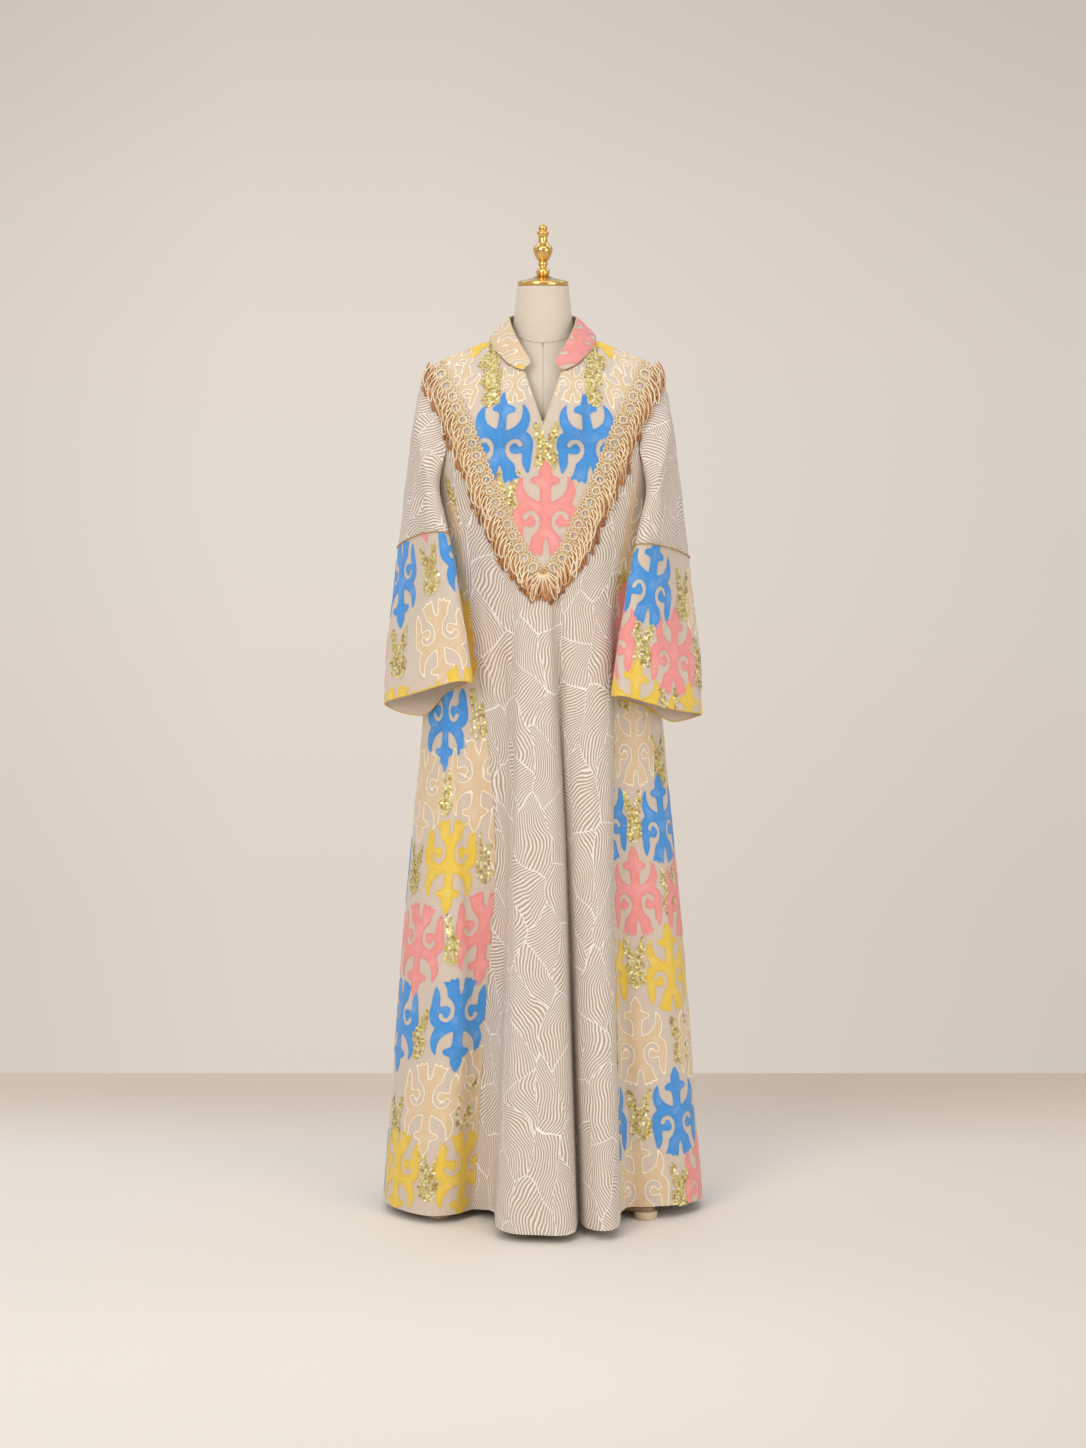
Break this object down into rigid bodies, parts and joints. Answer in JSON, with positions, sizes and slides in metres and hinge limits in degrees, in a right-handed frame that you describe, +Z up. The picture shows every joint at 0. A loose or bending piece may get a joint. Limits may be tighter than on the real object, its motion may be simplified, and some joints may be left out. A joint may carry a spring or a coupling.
{
  "type": "abaya on a dress form",
  "caption": "Beige abaya with applique side panels, yoke and flared cuffs, a fringed V braid and a fluted skirt, on a limbless linen dress form with a turned finial and tripod stand.",
  "frame": {"origin": "on the floor at the middle of the object's width and depth, on the stand's axis", "axes": "+Z up, the garment's front faces -Y, +X is to the right when facing its front"},
  "size_m": [0.5464, 0.4963, 1.668],
  "materials": {
    "leaf_cloth": "matte woven cloth with a raised line pattern",
    "ornament_cloth": "matte sheer ground with coloured applique and sequins",
    "braid": "satin open-work braid",
    "fringe": "satin looped cord",
    "piping": "satin",
    "form_linen": "matte linen",
    "gold_metal": "polished",
    "stand_metal": "satin",
    "stand_foot": "satin"
  },
  "bodies": {
    "root": {"front_panel": "leaf_cloth", "back_panel": "leaf_cloth", "side_panel_right": "ornament_cloth", "side_panel_left": "ornament_cloth", "yoke": "ornament_cloth", "collar": "ornament_cloth", "braid_right": "braid", "braid_left": "braid", "fringe_right": "fringe", "fringe_left": "fringe", "sleeve_upper_left": "leaf_cloth", "sleeve_cuff_left": "ornament_cloth", "piping_left": "piping", "sleeve_upper_right": "leaf_cloth", "sleeve_cuff_right": "ornament_cloth", "piping_right": "piping", "form_torso": "form_linen", "form_cap": "gold_metal", "form_finial": "gold_metal", "stand_pole": "stand_metal", "stand_hub": "stand_metal", "stand_leg_right": "stand_metal", "stand_foot_right": "stand_foot", "stand_leg_rear": "stand_metal", "stand_foot_rear": "stand_foot", "stand_leg_left": "stand_metal", "stand_foot_left": "stand_foot"}
  },
  "joints": []
}
